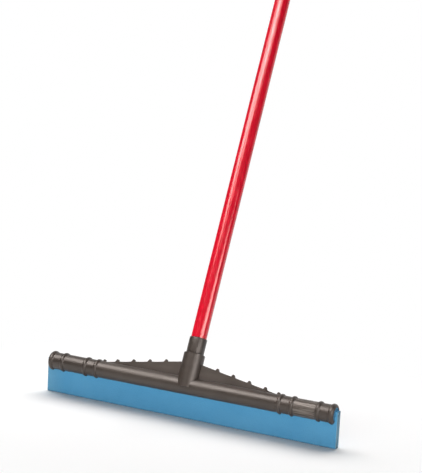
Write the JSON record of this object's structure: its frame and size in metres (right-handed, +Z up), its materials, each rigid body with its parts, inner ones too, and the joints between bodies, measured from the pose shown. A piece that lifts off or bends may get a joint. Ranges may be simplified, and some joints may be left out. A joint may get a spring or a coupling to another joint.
{
  "type": "floor squeegee",
  "caption": "Floor squeegee: a ribbed plastic head with a ringed channel, a blue foam blade held in it by a rod, and a leaning red coated handle screwed into a socket.",
  "frame": {"origin": "middle of the blade's foot, on the floor", "axes": "+X along the bar, +Y the way the handle leans, +Z up"},
  "size_m": [0.45, 0.5428, 1.204],
  "materials": {
    "head_plastic": "satin dark grey moulding",
    "blade_foam": "matte blue foam rubber",
    "rod_steel": "drawn steel",
    "ferrule_plastic": "satin dark grey moulding",
    "tube_steel": "rolled steel tube",
    "red_coating": "glossy red plastic film",
    "cap_plastic": "satin dark grey moulding"
  },
  "bodies": {
    "head": {"head_moulding": "head_plastic"},
    "blade": {"blade": "blade_foam"},
    "rod": {"retaining_rod": "rod_steel"},
    "handle": {"threaded_ferrule": "ferrule_plastic", "handle_tube": "tube_steel", "handle_coating": "red_coating", "hang_cap": "cap_plastic"}
  },
  "joints": [
    {"name": "handle_turn", "type": "hinge", "parent": "head", "child": "handle", "pos_m": [0, 0, 0.04488], "axis": [0, 0.4115, 0.9114], "range_deg": [0, 1530]},
    {"name": "blade_slide", "type": "slide", "parent": "head", "child": "blade", "axis": [1, 0, 0], "range_m": [-0.45, 0.45]},
    {"name": "rod_slide", "type": "slide", "parent": "blade", "child": "rod", "axis": [1, 0, 0], "range_m": [-0.45, 0.45]}
  ]
}
